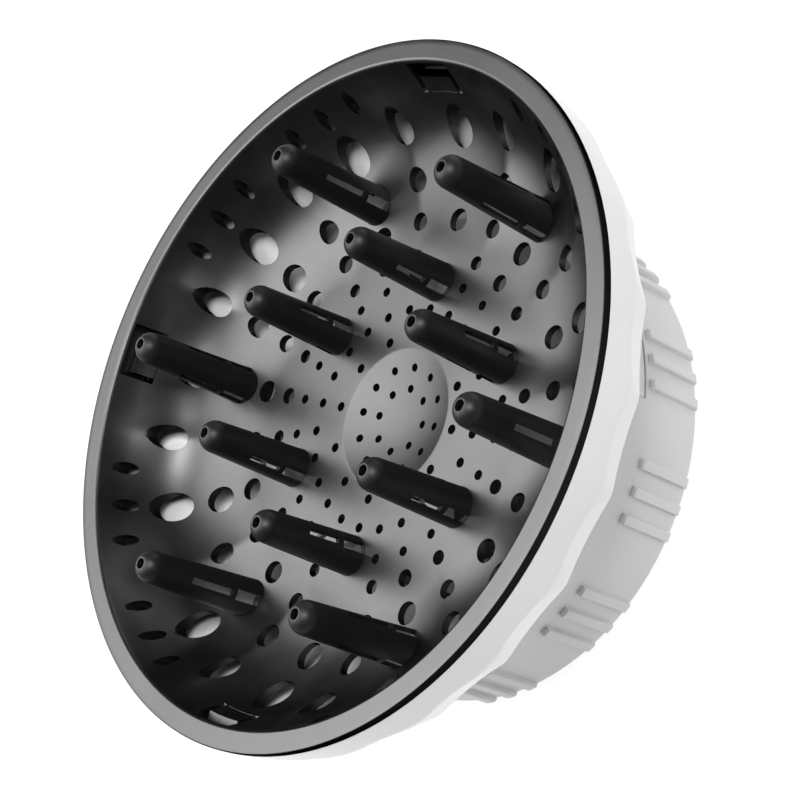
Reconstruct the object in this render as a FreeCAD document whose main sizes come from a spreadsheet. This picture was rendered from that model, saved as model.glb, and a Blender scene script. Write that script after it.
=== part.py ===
import FreeCAD, Part
import math
import os

import Sketcher
from FreeCAD import Placement, Rotation, Vector

# Universal hair-dryer diffuser.
# Frame: millimetres, +Z along the diffuser's axis towards the fingers, origin at the centre of the
# rear face. Azimuth 0 (+X) runs through one outer finger. The grip ring turns about Z and drives
# six jaws that close on the dryer's nozzle.

doc = FreeCAD.newDocument("dryer_diffuser")
sheet = doc.addObject("Spreadsheet::Sheet", "sizes")

SIZES = {
    # finger bowl
    "rim_radius": 85.4,
    "rim_top": 64.3,
    "rim_thickness": 2.0,
    "rim_bevel": 0.4,
    "mouth_radius": 80.65,
    "mouth_taper": 4.3,
    "mouth_depth": 5.0,
    "bowl_wall": 2.0,
    "petal_count": 12,
    "petal_axis_radius": 34.0,
    "middle_overlap": 6.0,
    "floor_height": 38.3,
    "petal_floor": 13.7,
    "petal_low_reach": 25.15,
    "petal_low_height": 40.25,
    "petal_mid_reach": 36.3,
    "petal_mid_height": 46.7,
    "petal_high_reach": 43.1,
    "petal_high_height": 57.0,
    "petal_top_reach": 46.1,
    "petal_top_height": 64.0,
    "dish_radius": 17.5,
    "dish_depth": 2.5,
    "window_width": 13.6,
    "window_low": 55.1,
    "window_high": 63.1,
    "window_inner": 72.0,
    "window_reach": 83.2,
    # fingers
    "finger_tip_radius": 3.95,
    "finger_root_radius": 4.95,
    "finger_tip_flat": 1.62,
    "finger_wall": 1.0,
    "finger_air_hole": 1.25,
    "finger_foot_radius": 6.5,
    "finger_foot_height": 1.5,
    "finger_root_height": 2.0,
    "finger_seat_height": 5.0,
    "slit_width": 1.6,
    "vent_width": 2.6,
    "outer_finger_place": 59.07,
    "outer_finger_top": 74.1,
    "outer_finger_seat": 36.3,
    "outer_slit_low": 48.3,
    "outer_slit_high": 60.8,
    "outer_vent_low": 39.4,
    "outer_vent_high": 47.1,
    "inner_finger_place": 34.28,
    "inner_finger_top": 68.5,
    "inner_finger_seat": 36.3,
    "inner_slit_low": 46.3,
    "inner_slit_high": 55.3,
    "inner_vent_low": 38.4,
    "inner_vent_high": 44.8,
    # outer shell
    "shell_top": 62.3,
    "shell_top_radius": 85.4,
    "shell_side_radius": 84.7,
    "shell_side_height": 53.0,
    "shoulder_radius": 81.0,
    "shoulder_height": 45.0,
    "lip_radius": 78.5,
    "lip_height": 44.2,
    "belly_radius": 66.5,
    "belly_height": 32.0,
    "throat_height": 26.8,
    "shell_wall": 1.9,
    "neck_radius": 57.4,
    "neck_inner_radius": 54.4,
    "neck_end": 12.5,
    "bead_radius": 58.15,
    "bead_low": 14.8,
    "bead_high": 16.2,
    "seal_low": 17.1,
    "seal_high": 18.55,
    "seal_floor_radius": 56.0,
    "flute_count": 24,
    "flute_radius": 73.0,
    "flute_depth": 1.45,
    "hook_width": 10.0,
    "hook_tip_radius": 80.6,
    "hook_low": 55.3,
    "hook_high": 58.2,
    "boss_place": 49.5,
    "boss_radius": 4.0,
    "boss_low": 11.8,
    "boss_high": 22.0,
    "web_low": 13.0,
    "web_width": 2.4,
    "lug_radius": 59.7,
    "lug_low": 18.9,
    "lug_angle": 27.7,
    # grip ring
    "ring_radius": 60.0,
    "ring_front": 24.5,
    "ring_bore": 57.45,
    "ring_ledge_bore": 54.6,
    "ring_ledge_front": 12.2,
    "ring_edge": 1.0,
    "ring_groove_radius": 58.2,
    "ring_groove_low": 14.6,
    "ring_groove_high": 16.4,
    "notch_low": 18.6,
    "notch_angle": 108.6,
    "rib_radius": 61.35,
    "rib_width": 2.3,
    "rib_rounding": 0.5,
    "rib_front": 17.3,
    "rib_rear": 0.6,
    "rib_groups": 12,
    # cam plate
    "cam_radius": 58.0,
    "cam_bore": 37.0,
    "cam_thickness": 5.0,
    "cam_floor": 1.8,
    "cam_groove_width": 4.3,
    "cam_sweep": 80.0,
    "cam_chamfer": 0.8,
    # jaws and guide
    "jaw_count": 6,
    "jaw_travel": 11.5,
    "pin_place": 52.0,
    "pin_radius": 2.0,
    "pin_low": 2.1,
    "jaw_rear": 5.3,
    "tongue_low": 7.0,
    "tongue_high": 9.0,
    "stem_width": 10.0,
    "tongue_width": 13.0,
    "slide_play": 0.1,
    "jaw_outer_end": 54.2,
    "clamp_radius": 33.0,
    "pad_back_radius": 35.0,
    "holder_back_radius": 36.7,
    "pad_low": 3.0,
    "pad_high": 17.5,
    "holder_low": 2.6,
    "holder_high": 19.0,
    "pad_angle": 30.0,
    "holder_angle": 28.0,
    "toe_radius": 30.5,
    "toe_angle": 20.0,
    "guide_radius": 54.2,
    "guide_bore": 37.0,
    "guide_rear": 5.3,
    "guide_front": 11.8,
    # fasteners and seal
    "guide_screw_radius": 1.5,
    "guide_screw_end": 19.0,
    "guide_head_radius": 3.0,
    "guide_head_low": 5.6,
    "guide_head_high": 7.6,
    "guide_sink_radius": 3.2,
    "cam_screw_place": 56.3,
    "cam_screw_radius": 0.9,
    "cam_screw_end": 10.5,
    "cam_head_radius": 1.6,
    "cam_head_low": 0.3,
    "cam_head_high": 1.8,
    "seal_ring_radius": 56.73,
    "seal_tube_radius": 0.7,
}

for row, (alias, number) in enumerate(SIZES.items(), start=1):
    sheet.set(f"A{row}", alias)
    sheet.set(f"B{row}", str(number))
    sheet.setAlias(f"B{row}", alias)
doc.recompute()

FINGER_STEP = 60.0
INNER_FINGER_TURN = 30.0
LUG_AZIMUTH = 212.15
NOTCH_AZIMUTH = 252.3
FLUTE_AZIMUTH = 2.0
RIB_AZIMUTH = -2.2
RIB_PITCH = 6.1
DRILL_FOOT = 20.0
DRILL_LENGTH = 60.0
DISH_SLAB_RADIUS = 30.0
DISH_SLAB_DEPTH = 5.0
SLOT_START = 1.0
SLOT_END = 8.0
FLUTE_LENGTH = 40.0
FLUTE_RUN_IN = 12.0
Z_AXIS = Vector(0, 0, 1)


def value(terms):
    """Number for a sum of sheet words, such as "rim_top - rim_thickness"."""
    total = 0.0
    sign = 1.0
    for word in str(terms).split():
        if word == "+":
            sign = 1.0
        elif word == "-":
            sign = -1.0
        elif word in SIZES:
            total += sign * float(sheet.get(word))
        else:
            total += sign * float(word)
    return total


def formula(terms):
    """The same sum as a FreeCAD expression that reads the sheet."""
    words = [f"sizes.{word}" if word in SIZES else word for word in str(terms).split()]
    return " ".join(words)


# ---------------------------------------------------------------- sketch and body helpers


def new_body(label):
    body = doc.addObject("PartDesign::Body", label)
    body.Label = label
    return body


def origin_part(body, role):
    return next(item for item in body.Origin.OriginFeatures if item.Role == role)


def flat_sketch(body, name, level="0"):
    """Sketch in a level plane at the given height."""
    sketch = body.newObject("Sketcher::SketchObject", name)
    sketch.AttachmentSupport = [(origin_part(body, "XY_Plane"), "")]
    sketch.MapMode = "FlatFace"
    sketch.setExpression("AttachmentOffset.Base.z", formula(level))
    return sketch


def upright_sketch(body, name, azimuth=0.0):
    """Sketch in the vertical plane through Z at the given azimuth: x is the radius, y the height."""
    sketch = body.newObject("Sketcher::SketchObject", name)
    sketch.AttachmentSupport = [(origin_part(body, "XZ_Plane"), "")]
    sketch.MapMode = "FlatFace"
    sketch.AttachmentOffset = Placement(Vector(), Rotation(Vector(0, 1, 0), azimuth))
    return sketch


def bind(sketch, kind, *items, terms):
    """Add a dimension that follows the sheet."""
    index = sketch.addConstraint(Sketcher.Constraint(kind, *items, value(terms)))
    name = f"size_{index}"
    sketch.renameConstraint(index, name)
    sketch.setExpression(f"Constraints.{name}", formula(terms))


def pin_point(sketch, edge, end, across, up):
    """Hold a sketch point at sheet sizes from the origin."""
    for kind, terms, axis in (("DistanceX", across, -2), ("DistanceY", up, -1)):
        if value(terms) == 0.0:
            sketch.addConstraint(Sketcher.Constraint("PointOnObject", edge, end, axis))
        else:
            bind(sketch, kind, -1, 1, edge, end, terms=terms)


def polygon(sketch, corners):
    """Closed outline whose corners are pairs of sheet sums."""
    spots = [Vector(value(across), value(up), 0) for across, up in corners]
    first = sketch.GeometryCount
    count = len(spots)
    for index in range(count):
        sketch.addGeometry(Part.LineSegment(spots[index], spots[(index + 1) % count]), False)
    for index in range(count):
        following = (index + 1) % count
        sketch.addConstraint(Sketcher.Constraint("Coincident", first + index, 2, first + following, 1))
    for index, (across, up) in enumerate(corners):
        pin_point(sketch, first + index, 1, across, up)


def disc(sketch, across, up, radius):
    """Circle held at sheet sizes."""
    centre = Vector(value(across), value(up), 0)
    edge = sketch.addGeometry(Part.Circle(centre, Z_AXIS, value(radius)), False)
    bind(sketch, "Radius", edge, terms=radius)
    if centre.Length == 0.0:
        sketch.addConstraint(Sketcher.Constraint("Coincident", edge, 3, -1, 1))
    else:
        pin_point(sketch, edge, 3, across, up)


def spin(body, name, kind, sketch, angle="360"):
    """Revolution or Groove about Z, centred on the sketch plane when it is a part turn."""
    feature = body.newObject(f"PartDesign::{kind}", name)
    feature.Profile = sketch
    feature.ReferenceAxis = (sketch, ["V_Axis"])
    feature.Midplane = value(angle) < 360.0
    feature.setExpression("Angle", formula(angle))
    return feature


def raise_pad(body, name, sketch, length):
    feature = body.newObject("PartDesign::Pad", name)
    feature.Profile = sketch
    feature.setExpression("Length", formula(length))
    return feature


def sink_pocket(body, name, sketch, length):
    """Pocket that cuts upwards from its sketch."""
    feature = body.newObject("PartDesign::Pocket", name)
    feature.Profile = sketch
    feature.Reversed = True
    feature.setExpression("Length", formula(length))
    return feature


def around(body, feature, count):
    """Repeat a feature evenly about Z."""
    pattern = body.newObject("PartDesign::PolarPattern", f"{feature.Name}_round")
    pattern.Originals = [feature]
    pattern.Axis = (origin_part(body, "Z_Axis"), [""])
    pattern.Angle = 360.0
    pattern.setExpression("Occurrences", formula(count))
    body.Tip = pattern
    return pattern


def plain_feature(label, shape):
    feature = doc.addObject("Part::Feature", label)
    feature.Label = label
    feature.Shape = shape
    return feature


def turned(azimuth):
    return Placement(Vector(), Rotation(Z_AXIS, azimuth))


# ---------------------------------------------------------------- finger bowl


def petal_curve():
    """Section of a petal's inside: radius from the petal's own axis against height."""
    knots = [
        Vector(value("petal_floor"), 0, value("floor_height")),
        Vector(value("petal_low_reach"), 0, value("petal_low_height")),
        Vector(value("petal_mid_reach"), 0, value("petal_mid_height")),
        Vector(value("petal_high_reach"), 0, value("petal_high_height")),
        Vector(value("petal_top_reach"), 0, value("petal_top_height")),
    ]
    curve = Part.BSplineCurve()
    rise = knots[-1] - knots[-2]
    curve.interpolate(Points=knots, InitialTangent=Vector(12, 0, 0), FinalTangent=rise.multiply(1.4))
    return curve, knots


def petal_body(offset, top):
    """Solid of revolution about a petal's axis, grown outwards by the offset."""
    curve, knots = petal_curve()
    spots = []
    for knot in knots:
        tangent = curve.tangent(curve.parameter(knot))[0]
        spots.append(knot + Vector(tangent.z, 0, -tangent.x).multiply(offset))
    grown = Part.BSplineCurve()
    end_tangent = curve.tangent(curve.LastParameter)[0]
    grown.interpolate(Points=spots, InitialTangent=Vector(12, 0, 0), FinalTangent=end_tangent.multiply(11))
    low = spots[0].z
    edges = [
        Part.makeLine(Vector(0, 0, low), spots[0]),
        grown.toShape(),
        Part.makeLine(spots[-1], Vector(spots[-1].x, 0, top)),
        Part.makeLine(Vector(spots[-1].x, 0, top), Vector(0, 0, top)),
        Part.makeLine(Vector(0, 0, top), Vector(0, 0, low)),
    ]
    solid = Part.Face(Part.Wire(edges)).revolve(Vector(), Z_AXIS, 360)
    solid.translate(Vector(value("petal_axis_radius"), 0, 0))
    return solid


def petal_flower(offset, top):
    """The petals fused round the bowl, with the middle filled in."""
    step = 360.0 / value("petal_count")
    petal = petal_body(offset, top)
    petals = []
    for index in range(int(value("petal_count"))):
        copy = petal.copy()
        copy.rotate(Vector(), Z_AXIS, index * step)
        petals.append(copy)
    low = value("floor_height") - offset
    radius = value("petal_axis_radius") + value("middle_overlap")
    middle = Part.makeCylinder(radius, top - low, Vector(0, 0, low))
    return middle.multiFuse(petals).removeSplitter()


def dish_cap(radius, centre):
    """The part of a sphere that dips below the bowl's floor."""
    low = value("floor_height") - DISH_SLAB_DEPTH
    slab = Part.makeCylinder(DISH_SLAB_RADIUS, DISH_SLAB_DEPTH + 1.0, Vector(0, 0, low))
    return Part.makeSphere(radius, centre).common(slab)


def ring_of_drills(place, radius, azimuths):
    """Upright drills on a circle."""
    drills = []
    for azimuth in azimuths:
        turn = math.radians(azimuth)
        foot = Vector(place * math.cos(turn), place * math.sin(turn), DRILL_FOOT)
        drills.append(Part.makeCylinder(radius, DRILL_LENGTH, foot))
    return drills


def perforations():
    """All air holes: circle radius, hole radius and azimuths of each ring."""
    twelfths = [30.0 * step for step in range(12)]
    between = [15.0 + 30.0 * step for step in range(12)]
    outer_lines = [60.0 * step for step in range(6)]
    inner_lines = [30.0 + 60.0 * step for step in range(6)]
    quarter_lines = [0.0, 90.0, 180.0, 270.0]
    clear_lines = [line for line in twelfths if line not in quarter_lines]
    triple = [line + shift for line in clear_lines for shift in (-7.5, 0.0, 7.5)]
    rings = [
        (7.85, 1.0, [45.0 * step for step in range(8)]),
        (12.95, 1.0, twelfths),
        (20.3, 1.2, twelfths),
        (27.4, 1.2, [15.0 * step for step in range(24)]),
        (34.6, 1.2, between + outer_lines),
        (41.3, 1.75, between),
        (41.3, 2.1, outer_lines),
        (50.0, 2.85, twelfths),
        (50.2, 2.3, between),
        (59.5, 3.5, inner_lines),
        (60.2, 2.9, between),
        (70.3, 4.0, twelfths),
        (71.0, 3.3, between),
        (77.0, 1.6, triple),
    ]
    drills = []
    for place, radius, azimuths in rings:
        drills += ring_of_drills(place, radius, azimuths)
    return drills


def latch_windows():
    """Slots in the bowl's side for the shell's hooks."""
    low = value("window_low")
    height = value("window_high") - low
    width = value("window_width")
    inner = value("window_inner")
    window = Part.makeBox(value("window_reach") - inner, width, height, Vector(inner, -width / 2, low))
    windows = []
    for azimuth in (0.0, 90.0, 180.0, 270.0):
        copy = window.copy()
        copy.rotate(Vector(), Z_AXIS, azimuth)
        windows.append(copy)
    return windows


def make_finger_bowl():
    wall = value("bowl_wall")
    rim_top = value("rim_top")
    rim_low = rim_top - value("rim_thickness")
    rim_radius = value("rim_radius")
    bevel = value("rim_bevel")

    outside = petal_flower(wall, rim_top - 0.5)
    rim = Part.makeCylinder(rim_radius, rim_top - bevel - rim_low, Vector(0, 0, rim_low))
    rim = rim.fuse(Part.makeCone(rim_radius, rim_radius - bevel, bevel, Vector(0, 0, rim_top - bevel)))
    dish_radius = (value("dish_radius") ** 2 + value("dish_depth") ** 2) / (2 * value("dish_depth"))
    dish_centre = Vector(0, 0, value("floor_height") - value("dish_depth") + dish_radius)
    dish_back = dish_cap(dish_radius + wall, dish_centre)
    seats = []
    for azimuth in range(0, 360, int(FINGER_STEP)):
        turn = math.radians(azimuth)
        place = value("outer_finger_place")
        foot = Vector(place * math.cos(turn), place * math.sin(turn), value("outer_finger_seat"))
        seats.append(Part.makeCylinder(value("finger_foot_radius"), value("finger_seat_height"), foot))
    body = outside.multiFuse([rim, dish_back] + seats)

    inside = petal_flower(0.0, rim_top + 1.0)
    mouth_low = value("mouth_radius") - value("mouth_taper")
    mouth = Part.makeCone(mouth_low, value("mouth_radius"), value("mouth_depth"),
                          Vector(0, 0, rim_top - value("mouth_depth")))
    mouth = mouth.fuse(Part.makeCylinder(value("mouth_radius"), 1.0, Vector(0, 0, rim_top)))
    dish = dish_cap(dish_radius, dish_centre)
    body = body.cut(inside.multiFuse([mouth, dish]))

    root = value("finger_root_radius")
    sockets = ring_of_drills(value("outer_finger_place"), root, [FINGER_STEP * step for step in range(6)])
    sockets += ring_of_drills(value("inner_finger_place"), root,
                              [INNER_FINGER_TURN + FINGER_STEP * step for step in range(6)])
    body = body.cut(perforations() + sockets + latch_windows())
    return plain_feature("finger_bowl", body.removeSplitter())


# ---------------------------------------------------------------- fingers


def make_finger(label, row, azimuth):
    """Hollow tapered finger with a round tip, a foot under the bowl and three slotted sides."""
    body = new_body(label)
    top = f"{row}_finger_top"
    seat = f"{row}_finger_seat"
    profile = upright_sketch(body, f"{label}_profile")
    tip = value("finger_tip_radius")
    shoulder = value(top) - tip
    foot_low = value(seat) - value("finger_foot_height")
    root_top = value(seat) + value("finger_root_height")
    inner_root = value("finger_root_radius") - value("finger_wall")
    inner_tip = tip - value("finger_wall")
    hole = value("finger_air_hole")
    flat = value("finger_tip_flat")
    crown = math.sqrt(tip ** 2 - flat ** 2)
    crown_inside = math.sqrt(inner_tip ** 2 - hole ** 2)

    def spot(across, up):
        return Vector(across, up, 0)

    centre = spot(0, shoulder)
    edges = [
        Part.LineSegment(spot(inner_root, foot_low), spot(value("finger_foot_radius"), foot_low)),
        Part.LineSegment(spot(value("finger_foot_radius"), foot_low),
                         spot(value("finger_foot_radius"), value(seat))),
        Part.LineSegment(spot(value("finger_foot_radius"), value(seat)),
                         spot(value("finger_root_radius"), value(seat))),
        Part.LineSegment(spot(value("finger_root_radius"), value(seat)),
                         spot(value("finger_root_radius"), root_top)),
        Part.LineSegment(spot(value("finger_root_radius"), root_top), spot(tip, shoulder)),
        Part.ArcOfCircle(Part.Circle(centre, Z_AXIS, tip), 0.0, math.asin(crown / tip)),
        Part.LineSegment(spot(flat, shoulder + crown), spot(hole, shoulder + crown)),
        Part.LineSegment(spot(hole, shoulder + crown), spot(hole, shoulder + crown_inside)),
        Part.ArcOfCircle(Part.Circle(centre, Z_AXIS, inner_tip), 0.0, math.asin(crown_inside / inner_tip)),
        Part.LineSegment(spot(inner_tip, shoulder), spot(inner_root, foot_low)),
    ]
    for edge in edges:
        profile.addGeometry(edge, False)
    spin(body, f"{label}_tube", "Revolution", profile)

    for name, low, high, width in (
        ("slit", f"{row}_slit_low", f"{row}_slit_high", "slit_width"),
        ("vent", f"{row}_vent_low", f"{row}_vent_high", "vent_width"),
    ):
        sketch = flat_sketch(body, f"{label}_{name}_plan", low)
        half = value(width) / 2
        corners = [spot(SLOT_START, -half), spot(SLOT_END, -half), spot(SLOT_END, half), spot(SLOT_START, half)]
        for index in range(4):
            sketch.addGeometry(Part.LineSegment(corners[index], corners[(index + 1) % 4]), False)
            if index:
                sketch.addConstraint(Sketcher.Constraint("Coincident", index - 1, 2, index, 1))
        sketch.addConstraint(Sketcher.Constraint("Coincident", 3, 2, 0, 1))
        bind(sketch, "DistanceY", 1, 1, 1, 2, terms=width)
        cut = sink_pocket(body, f"{label}_{name}", sketch, f"{high} - {low}")
        around(body, cut, 3)

    turn = math.radians(azimuth)
    place = value(f"{row}_finger_place")
    body.Placement = Placement(Vector(place * math.cos(turn), place * math.sin(turn), 0),
                               Rotation(Z_AXIS, azimuth))
    return body


# ---------------------------------------------------------------- outer shell


def make_outer_shell():
    """White cover: side wall, fluted shoulder, belly and the neck that carries the grip ring."""
    body = new_body("outer_shell")
    profile = upright_sketch(body, "shell_profile")
    polygon(profile, [
        ("shell_top_radius", "shell_top"),
        ("shell_side_radius", "shell_side_height"),
        ("shoulder_radius", "shoulder_height"),
        ("lip_radius", "lip_height"),
        ("belly_radius", "belly_height"),
        ("neck_radius", "throat_height"),
        ("neck_radius", "seal_high"),
        ("seal_floor_radius", "seal_high"),
        ("seal_floor_radius", "seal_low"),
        ("neck_radius", "seal_low"),
        ("neck_radius", "bead_high"),
        ("bead_radius", "bead_high"),
        ("bead_radius", "bead_low"),
        ("neck_radius", "bead_low"),
        ("neck_radius", "neck_end"),
        ("neck_inner_radius", "neck_end"),
        ("neck_inner_radius", "throat_height + 1.6"),
        ("belly_radius - 1.2", "belly_height + shell_wall"),
        ("shoulder_radius - 2.8", "shoulder_height + 1.4"),
        ("shell_side_radius - shell_wall - 0.2", "shell_side_height + 0.4"),
        ("shell_top_radius - shell_wall", "shell_top"),
    ])
    spin(body, "shell_wall", "Revolution", profile)

    flute = body.newObject("PartDesign::SubtractiveCylinder", "flute")
    flute.setExpression("Radius", formula("flute_radius"))
    flute.Height = FLUTE_LENGTH
    # the flute's lowest line runs from the side wall down to just inside the shoulder
    upper = Vector(value("shell_side_radius") + 0.2, 0, value("shell_side_height") + 1.5)
    lower = Vector(value("shoulder_radius") - value("flute_depth"), 0, value("shoulder_height"))
    along = (upper - lower).normalize()
    outward = Vector(along.z, 0, -along.x)
    start = lower + outward.multiply(value("flute_radius")) - Vector(along).multiply(FLUTE_RUN_IN)
    aim = Rotation(Z_AXIS, along)
    turn = turned(FLUTE_AZIMUTH)
    flute.Placement = turn.multiply(Placement(start, aim))
    around(body, flute, "flute_count")

    hook_plan = flat_sketch(body, "hook_plan", "hook_low")
    half = value("hook_width") / 2
    outer = value("shell_side_radius") - 1.0
    inner = value("hook_tip_radius")
    corners = [Vector(inner, -half, 0), Vector(outer, -half, 0), Vector(outer, half, 0), Vector(inner, half, 0)]
    for index in range(4):
        hook_plan.addGeometry(Part.LineSegment(corners[index], corners[(index + 1) % 4]), False)
    hook = raise_pad(body, "hook", hook_plan, "hook_high - hook_low")
    around(body, hook, 4)

    boss_plan = flat_sketch(body, "boss_plan", "boss_low")
    boss_plan.AttachmentOffset = Placement(Vector(0, 0, value("boss_low")), Rotation(Z_AXIS, INNER_FINGER_TURN))
    disc(boss_plan, "boss_place", "0", "boss_radius")
    boss = raise_pad(body, "boss", boss_plan, "boss_high - boss_low")
    around(body, boss, "jaw_count")

    web_plan = flat_sketch(body, "web_plan", "web_low")
    web_plan.AttachmentOffset = Placement(Vector(0, 0, value("web_low")), Rotation(Z_AXIS, INNER_FINGER_TURN))
    half = value("web_width") / 2
    inner = value("boss_place") + 1.0
    outer = value("neck_inner_radius") + 0.8
    corners = [Vector(inner, -half, 0), Vector(outer, -half, 0), Vector(outer, half, 0), Vector(inner, half, 0)]
    for index in range(4):
        web_plan.addGeometry(Part.LineSegment(corners[index], corners[(index + 1) % 4]), False)
    web = raise_pad(body, "web", web_plan, "boss_high - web_low")
    around(body, web, "jaw_count")

    pilot_plan = flat_sketch(body, "pilot_plan", "boss_low")
    pilot_plan.AttachmentOffset = Placement(Vector(0, 0, value("boss_low")), Rotation(Z_AXIS, INNER_FINGER_TURN))
    disc(pilot_plan, "boss_place", "0", "guide_screw_radius")
    pilot = sink_pocket(body, "pilot", pilot_plan, "guide_screw_end - boss_low")
    around(body, pilot, "jaw_count")

    lug_side = upright_sketch(body, "lug_side", LUG_AZIMUTH)
    polygon(lug_side, [
        ("neck_radius - 0.5", "lug_low"),
        ("lug_radius", "lug_low"),
        ("lug_radius", "throat_height + 1"),
        ("neck_radius - 0.5", "throat_height + 1"),
    ])
    body.Tip = spin(body, "stop_lug", "Revolution", lug_side, "lug_angle")
    return body


# ---------------------------------------------------------------- grip ring


def make_grip_ring():
    """Ribbed collar: runs on the neck, holds the cam plate, notched in front for the stop lug."""
    body = new_body("grip_ring")
    profile = upright_sketch(body, "ring_profile")
    polygon(profile, [
        ("cam_radius", "0"),
        ("ring_radius - ring_edge", "0"),
        ("ring_radius", "ring_edge"),
        ("ring_radius", "ring_front"),
        ("ring_bore", "ring_front"),
        ("ring_bore", "ring_groove_high"),
        ("ring_groove_radius", "ring_groove_high"),
        ("ring_groove_radius", "ring_groove_low"),
        ("ring_bore", "ring_groove_low"),
        ("ring_bore", "ring_ledge_front"),
        ("ring_ledge_bore", "ring_ledge_front"),
        ("ring_ledge_bore", "cam_thickness"),
        ("cam_radius", "cam_thickness"),
    ])
    spin(body, "ring_wall", "Revolution", profile)

    rib_plan = flat_sketch(body, "rib_plan", "rib_rear")
    half = value("rib_width") / 2
    round_radius = value("rib_rounding")
    for shift in (-RIB_PITCH, 0.0, RIB_PITCH):
        frame = turned(RIB_AZIMUTH + shift)
        foot = value("ring_radius") - 0.6
        crest = value("rib_radius")
        low_left = frame.multVec(Vector(foot, half, 0))
        low_right = frame.multVec(Vector(foot, -half, 0))
        side_right = frame.multVec(Vector(crest - round_radius, -half, 0))
        side_left = frame.multVec(Vector(crest - round_radius, half, 0))
        crown_right = frame.multVec(Vector(crest, -half + round_radius, 0))
        crown_left = frame.multVec(Vector(crest, half - round_radius, 0))
        reach = round_radius * math.sqrt(0.5)
        bend_right = frame.multVec(Vector(crest - round_radius + reach, -half + round_radius - reach, 0))
        bend_left = frame.multVec(Vector(crest - round_radius + reach, half - round_radius + reach, 0))
        rib_plan.addGeometry(Part.LineSegment(low_left, low_right), False)
        rib_plan.addGeometry(Part.LineSegment(low_right, side_right), False)
        rib_plan.addGeometry(Part.Arc(side_right, bend_right, crown_right), False)
        rib_plan.addGeometry(Part.LineSegment(crown_right, crown_left), False)
        rib_plan.addGeometry(Part.Arc(crown_left, bend_left, side_left), False)
        rib_plan.addGeometry(Part.LineSegment(side_left, low_left), False)
    ribs = raise_pad(body, "ribs", rib_plan, "rib_front - rib_rear")
    around(body, ribs, "rib_groups")

    notch_side = upright_sketch(body, "notch_side", NOTCH_AZIMUTH)
    polygon(notch_side, [
        ("ring_bore - 1", "notch_low"),
        ("ring_radius + 1", "notch_low"),
        ("ring_radius + 1", "ring_front + 1"),
        ("ring_bore - 1", "ring_front + 1"),
    ])
    body.Tip = spin(body, "notch", "Groove", notch_side, "notch_angle")

    pilot_plan = flat_sketch(body, "ring_pilot_plan", "0")
    pilot_plan.AttachmentOffset = Placement(Vector(), Rotation(Z_AXIS, INNER_FINGER_TURN))
    disc(pilot_plan, "cam_screw_place", "0", "cam_screw_radius")
    pilot = sink_pocket(body, "ring_pilot", pilot_plan, "cam_screw_end")
    around(body, pilot, "jaw_count")
    return body


# ---------------------------------------------------------------- cam plate


def spiral_groove(index):
    """Cutter for one groove: a slot whose middle line is an Archimedean spiral."""
    half = value("cam_groove_width") / 2
    sweep = math.radians(value("cam_sweep"))
    start = value("pin_place")
    fall = value("jaw_travel") / sweep
    base = math.radians(index * 360.0 / value("jaw_count"))
    steps = 8

    def offset_point(turn, side):
        """Point beside the spiral, square to its direction."""
        radius = start - fall * turn
        angle = base + turn
        spot = Vector(radius * math.cos(angle), radius * math.sin(angle), value("cam_floor"))
        along = Vector(-fall * math.cos(angle) - radius * math.sin(angle),
                       -fall * math.sin(angle) + radius * math.cos(angle), 0).normalize()
        return spot + Vector(along.y, -along.x, 0).multiply(side * half), spot, along

    def side_curve(side):
        curve = Part.BSplineCurve()
        curve.interpolate([offset_point(sweep * step / steps, side)[0] for step in range(steps + 1)])
        return curve

    outer = side_curve(1.0)
    inner = side_curve(-1.0)
    ends = []
    for turn, sign in ((0.0, -1.0), (sweep, 1.0)):
        outer_spot, middle, along = offset_point(turn, 1.0)
        inner_spot = offset_point(turn, -1.0)[0]
        ends.append(Part.Arc(outer_spot, middle + along.multiply(sign * half), inner_spot).toShape())
    wire = Part.Wire([ends[0], outer.toShape(), ends[1], inner.toShape()])
    return Part.Face(wire).extrude(Vector(0, 0, value("cam_thickness")))


def make_cam_plate():
    """Rear cover of the grip ring, with one spiral groove for each jaw's pin."""
    plate = Part.makeCylinder(value("cam_radius"), value("cam_thickness"))
    bore = Part.makeCylinder(value("cam_bore"), value("cam_thickness"))
    cutters = [bore] + [spiral_groove(index) for index in range(int(value("jaw_count")))]
    for index in range(int(value("jaw_count"))):
        turn = math.radians(INNER_FINGER_TURN + index * FINGER_STEP)
        foot = Vector(value("cam_screw_place") * math.cos(turn), value("cam_screw_place") * math.sin(turn), 0)
        cutters.append(Part.makeCylinder(value("cam_screw_radius"), value("cam_thickness"), foot))
        cutters.append(Part.makeCylinder(value("cam_head_radius"), value("cam_head_high"), foot))
    plate = plate.cut(cutters)
    rear_edges = [edge for edge in plate.Edges
                  if isinstance(edge.Curve, Part.Circle) and abs(edge.Curve.Center.z) < 1e-6
                  and abs(edge.Curve.Radius - value("cam_bore")) < 1e-6]
    return plain_feature("cam_plate", plate.makeChamfer(value("cam_chamfer"), rear_edges))


# ---------------------------------------------------------------- jaw guide


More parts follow.
